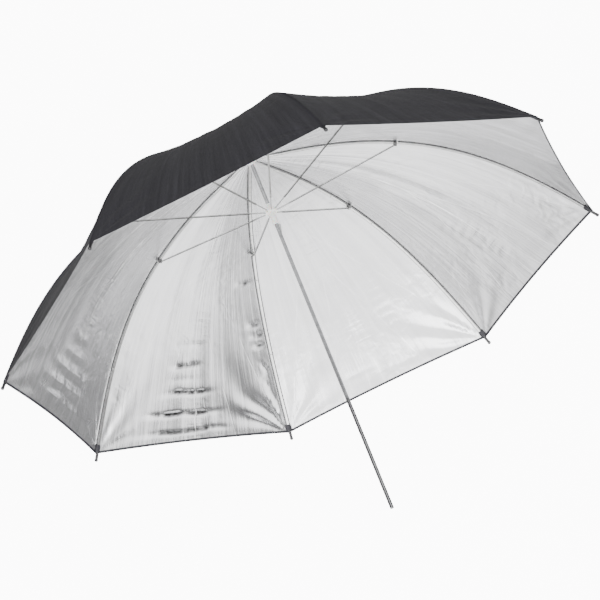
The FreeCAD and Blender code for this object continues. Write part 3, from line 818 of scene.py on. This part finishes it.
def cloth_half(rib, side, name, shares, hem):
    """A closed thin sheet from a rib to halfway to its neighbour, before it (side -1) or after
    it (side 1): black on its outer face and silver on its inner face."""
    columns = HALF_COLUMNS + 1
    share = np.repeat(shares[:, None], columns, axis=1)
    over = np.linspace(0.0, 1.0, columns)[None, :] ** COLUMN_CROWDING
    over = np.repeat(over, len(shares), axis=0)
    gore, way = (rib, over / 2) if side > 0 else ((rib - 1) % RIB_COUNT, 1 - over / 2)
    points = gore_point(gore, share, way)
    shading = gore_normal(gore, share, way)
    normals = shading.copy()
    normals[:, 0] = rib_normals(rib, shares)
    uv = np.stack(
        [(1 - over) * rib_point(share)[0] * math.sin(HALF_STEP), share * RIB_LENGTH], axis=-1
    )
    painted_groove_shade = groove_shade_share(gore, share, way)
    points, shading, normals, uv, painted_groove_shade = (
        values[:, ::side] for values in (points, shading, normals, uv, painted_groove_shade)
    )
    half = CLOTH_THICKNESS / 2
    vertices = np.concatenate(
        [(points + normals * half).reshape(-1, 3), (points - normals * half).reshape(-1, 3)]
    )
    faces = closed_faces(len(shares), columns)
    slots = cloth_slots(len(shares) - 1, side, hem)
    uvs = np.tile(uv.reshape(-1, 2), (2, 1))
    made = new_mesh_object(name, vertices, faces, [BLACK, SILVER, HEM], slots, uvs)
    marks = made.data.attributes.new("painted_groove_shade", "FLOAT", "POINT")
    marks.data.foreach_set("value", np.tile(painted_groove_shade.ravel(), 2).astype(np.float32))
    shade(made, shading.reshape(-1, 3), (len(shares) - 1) * HALF_COLUMNS)
    return made


def gather(piece, rib, side, shares):
    """Gives a half its own mesh. It also works out, without using it, how the half would gather
    beside and over its rib as the umbrella folds: flat across the cloth, square to the line
    between the ends of its stretch of rib, leaning a little so that neighbouring halves lie over
    each other."""
    angle = 2 * HALF_STEP * rib
    up = Vector((0, 1, 0))
    out = Vector((math.sin(angle), 0, math.cos(angle)))
    beside = Vector((math.cos(angle), 0, -math.sin(angle))) * side
    first_radius, first_height = rib_point(shares[0])
    last_radius, last_height = rib_point(shares[-1])
    line = (out * (last_radius - first_radius) + up * (last_height - first_height)).normalized()
    across = beside * math.cos(HALF_STEP) - out * math.sin(HALF_STEP)
    axis = (across - line * across.dot(line)).normalized()
    outwards = (up - line * line.y - axis * axis.y).normalized()
    axis = (axis - outwards * FOLDED_LEANS[side]).normalized()
    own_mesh(piece)


def hemmed_rows():
    """Shares along the rib of the outer section's rows, the last one as wide as the hem."""
    hem = HEM_WIDTH / RIB_LENGTH
    steps = 1 - (1 - np.linspace(0.0, 1.0, OUTER_ROWS)) ** ROW_CROWDING
    return np.concatenate([FLEX_SHARE + (1 - hem - FLEX_SHARE) * steps, [1.0]])


# --- seam tapes and thread ties ----------------------------------------------------------------


def seam_tape(rib, name, start, end):
    """The binding of the seam over a rib: it follows the cloth and folds down to the rib."""
    shares = section_rows(start, end, TAPE_ROWS)[:, None]
    sides = np.array(TAPE_COLUMNS)[None, :]
    taper = TAPE_HALF_WIDTH * smooth_step(shares, 0.0, TAPE_TAPER_SHARE) + TAPE_END_HALF_WIDTH
    offsets = taper * sides
    half_width = rib_point(shares)[0] * math.sin(HALF_STEP)
    radial, sideways, height = taut_cloth(shares + 0 * offsets, np.abs(offsets) / half_width)
    slope = rib_slope(shares)

    def lowered(depth):
        return to_row(
            rib,
            radial - depth * np.sin(slope),
            np.copysign(sideways, offsets),
            height - depth * np.cos(slope),
        )

    fold_depth = CLOTH_ABOVE_RIB + CLOTH_SOLID - TAPE_FOOT
    flat_depth = TAPE_BELOW_CLOTH + TAPE_THICKNESS
    upper = lowered(TAPE_BELOW_CLOTH + 0 * offsets)
    lower = lowered(np.where(np.abs(sides) < TAPE_MIDDLE, fold_depth, flat_depth) + 0 * offsets)
    rows, columns = offsets.shape
    vertices = np.concatenate([upper.reshape(-1, 3), lower.reshape(-1, 3)])
    faces = closed_faces(rows, columns)
    along = np.repeat(shares * RIB_LENGTH, columns, axis=1)
    uv = np.stack([offsets, along], axis=-1).reshape(-1, 2)
    slots = np.zeros(len(faces), np.int32)
    slots[: (rows - 1) * (columns - 1)] = 1
    return new_mesh_object(name, vertices, faces, [TAPE, BLACK], slots, np.tile(uv, (2, 1)))


def thread_ties(rib, name, shares):
    """Turns of thread that hold the seam to a rib."""
    around = full_turn(TURN_STEPS)
    square = (np.abs(np.cos(around)) ** 4 + np.abs(np.sin(around)) ** 4) ** -0.25
    half_width = RIB_WIDTH / 2 + TURN_CLEARANCE
    low = -RIB_DEPTH / 2 - TURN_CLEARANCE
    high = TAPE_FOOT + TAPE_THICKNESS
    middle, half_height = (low + high) / 2, (high - low) / 2
    vertices, faces = [], []
    for share in shares:
        for number in range(TIE_TURNS):
            at = share + (number - 1) * TURN_PITCH / RIB_LENGTH
            turn = []
            for phase in full_turn(THREAD_SIDES):
                grow = square * (1 + THREAD_RADIUS * math.cos(phase) / half_width)
                across = half_width * np.cos(around) * grow
                above = middle + half_height * np.sin(around) * grow
                shift = THREAD_RADIUS * math.sin(phase) / RIB_LENGTH
                radial, height = rib_point(at + shift + 0 * above, above)
                turn.append(to_row(rib, radial, across, height))
            base = len(vertices) * TURN_STEPS * THREAD_SIDES
            vertices.append(np.stack(turn, axis=1).reshape(-1, 3))
            faces.append(ring_faces(TURN_STEPS, THREAD_SIDES) + base)
    faces = np.concatenate(faces)
    slots = np.zeros(len(faces), np.int32)
    return new_mesh_object(name, np.concatenate(vertices), faces, [THREAD], slots)


def corner_pocket(rib, name):
    """The sewn cup at a cloth corner that the rib's tip sits in."""
    around = full_turn(POCKET_COLUMNS)
    start = 1 - POCKET_LENGTH / RIB_LENGTH
    high = CLOTH_ABOVE_RIB
    middle, half_height = (high - POCKET_DEPTH) / 2, (high + POCKET_DEPTH) / 2
    layers = []
    for inset in (0.0, POCKET_WALL):
        rings = []
        for length in np.linspace(0.0, 1.0, POCKET_ROWS):
            # Widest before its middle, and closed a little over its last fifth.
            swell = 0.80 + 0.20 * math.sin(math.pi * length**0.8)
            swell *= 1 - 0.35 * max(0.0, length - 0.8) / 0.2
            pleats = 1 + POCKET_PLEAT_DEPTH * np.sin(POCKET_PLEATS * around + 2.0 * length)
            across = (POCKET_HALF_WIDTH * swell * pleats - inset) * np.cos(around)
            above = middle + (half_height * swell - inset) * np.sin(around)
            share = start + (1 - start) * length + 0 * above
            radial, height = rib_point(share, above)
            rings.append(to_row(rib, radial, across, height))
        layers.append(np.stack(rings))
    outer, inner = layers
    section = np.concatenate([outer, inner[::-1]])
    faces = ring_faces(*section.shape[:2])
    slots = np.zeros(len(faces), np.int32)
    return new_mesh_object(name, section.reshape(-1, 3), faces, [POCKET], slots)


inner_rows = section_rows(FIRST_SHARE, FLEX_SHARE, INNER_ROWS)
outer_rows = hemmed_rows()
gap = 0.5 * JOINT_TO_FLEX / RIB_LENGTH
for rib in range(RIB_COUNT):
    number = rib + 1
    inner_trims = (
        seam_tape(rib, f"seam_{number}_inner", TAPE_ENDS[0], FLEX_SHARE - gap),
        thread_ties(rib, f"ties_{number}_inner", [t for t in TIE_SHARES if t < FLEX_SHARE]),
    )
    outer_trims = (
        seam_tape(rib, f"seam_{number}_outer", FLEX_SHARE + gap, TAPE_ENDS[1]),
        thread_ties(rib, f"ties_{number}_outer", [t for t in TIE_SHARES if t > FLEX_SHARE]),
        corner_pocket(rib, f"pocket_{number}"),
    )
    for tape in (inner_trims[0], outer_trims[0]):
        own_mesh(tape)
    for part, body, shares, trims, keep in (
        ("inner", f"rib_{number}", inner_rows, inner_trims, INNER_FOLDED_SHARE),
        ("outer", f"rib_{number}_outer", outer_rows, outer_trims, OUTER_FOLDED_SHARE),
    ):
        for trim in trims:
            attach(trim, body)
        for side, label, with_pieces in ((-1, "before", ()), (1, "after", trims)):
            name = f"cloth_{number}_{part}_{label}"
            piece = cloth_half(rib, side, name, shares, hem=part == "outer")
            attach(piece, body)
            gather(piece, rib, side, shares)
            if part == "inner" and side > 0:
                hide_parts(f"canopy_{number}")

# --- camera, lights and floor ------------------------------------------------------------------

# The camera's axes and place, fitted to the photo.
RIGHT = Vector((0.9394, -0.3389, 0.0515))
UP = Vector((0.2737, 0.8321, 0.4824))
BACK = Vector((-0.2063, -0.4391, 0.8745))
CAMERA_PLACE = Vector((-1.176, -2.066, 4.925))

camera_data = bpy.data.cameras.new("camera")
camera_data.lens = 165.2
camera_data.sensor_width = 36.0
camera = bpy.data.objects.new("camera", camera_data)
bpy.context.scene.collection.objects.link(camera)
turn = Matrix((RIGHT, UP, BACK)).transposed()
camera.matrix_world = Matrix.Translation(CAMERA_PLACE) @ turn.to_4x4()
bpy.context.scene.camera = camera


def area_light(name, place_at, aim, width, height, power):
    data = bpy.data.lights.new(name, "AREA")
    data.shape = "RECTANGLE"
    data.size = width
    data.size_y = height
    data.energy = power
    light = bpy.data.objects.new(name, data)
    bpy.context.scene.collection.objects.link(light)
    direction = Vector(aim) - Vector(place_at)
    light.rotation_euler = direction.to_track_quat("-Z", "Y").to_euler()
    light.location = place_at


MIDDLE = (0.0, 0.55, 0.0)
area_light("front_left", (-3.0, -2.2, 1.6), MIDDLE, 1.6, 1.6, 30)
area_light("overhead", (0.4, 0.6, 3.6), MIDDLE, 2.4, 2.4, 40)

WHITE_BACKDROP = 9.5  # how bright the floor and the far wall look to the camera
FLOOR_HEIGHT = -1.7
FLOOR_HALF_SIZE = 30.0

floor_mesh = bpy.data.meshes.new("floor")
floor_corners = [
    (x * FLOOR_HALF_SIZE, y * FLOOR_HALF_SIZE, FLOOR_HEIGHT)
    for x, y in ((-1, -1), (1, -1), (1, 1), (-1, 1))
]
floor_mesh.from_pydata(floor_corners, [], [(0, 1, 2, 3)])
floor = bpy.data.objects.new("floor", floor_mesh)
bpy.context.scene.collection.objects.link(floor)
floor_material, floor_tree, floor_shader = new_material("pale_floor")
set_shader(
    floor_tree,
    floor_shader,
    Base_Color=(0.9, 0.9, 0.9, 1),
    Roughness=0.8,
    Emission_Color=(1, 1, 1, 1),
    Emission_Strength=WHITE_BACKDROP,
)
floor_mesh.materials.append(floor_material)
floor.visible_glossy = False
floor.visible_diffuse = False


def studio_patch(tree, below, centre, inner, outer, brightness):
    """Mixes a round soft-edged patch of the studio over the brightness below it."""
    source = add_node(tree, "ShaderNodeTexCoord").outputs["Generated"]
    direction = Vector(centre).normalized()
    facing = add_node(
        tree, "ShaderNodeVectorMath", {0: source, 1: direction}, operation="DOT_PRODUCT"
    ).outputs["Value"]
    low, high = math.cos(math.radians(outer)), math.cos(math.radians(inner))
    share = stretch(tree, facing, low, high, 0.0, 1.0)
    inputs = {"Factor": share, "A": below, "B": brightness}
    return add_node(tree, "ShaderNodeMix", inputs, data_type="FLOAT").outputs["Result"]


world = bpy.data.worlds.new("studio")
world.use_nodes = True
world_tree = world.node_tree
brightness = 0.68
for patch in (
    ((-0.05, 0.35, 0.94), 15, 60, 1.5),  # ceiling
    ((0.0, 1.0, 0.0), 55, 86, 0.22),  # dark wall behind the umbrella
    ((-0.20, -0.90, 0.25), 35, 80, 3.3),  # lit wall in front
    ((-0.05, -0.42, 0.91), 10, 32, 7.0),  # softbox above the camera
    ((0.92, -0.25, 0.12), 16, 38, 0.28),  # dark flag on the right
    ((0.75, -0.10, -0.65), 15, 50, 0.40),  # unlit corner, low on the right
    ((0.745, 0.10, 0.65), 18, 38, 0.04),  # black curtain, high on the right
    ((0.68, 0.32, -0.67), 8, 22, 1.6),  # window, low on the right
):
    brightness = studio_patch(world_tree, brightness, *patch)
seen = add_node(world_tree, "ShaderNodeLightPath").outputs["Is Camera Ray"]
inputs = {"Factor": seen, "A": brightness, "B": WHITE_BACKDROP}
strength = add_node(world_tree, "ShaderNodeMix", inputs, data_type="FLOAT").outputs["Result"]
background = world_tree.nodes["Background"]
background.inputs["Color"].default_value = (1.0, 1.0, 1.0, 1.0)
world_tree.links.new(strength, background.inputs["Strength"])
bpy.context.scene.world = world
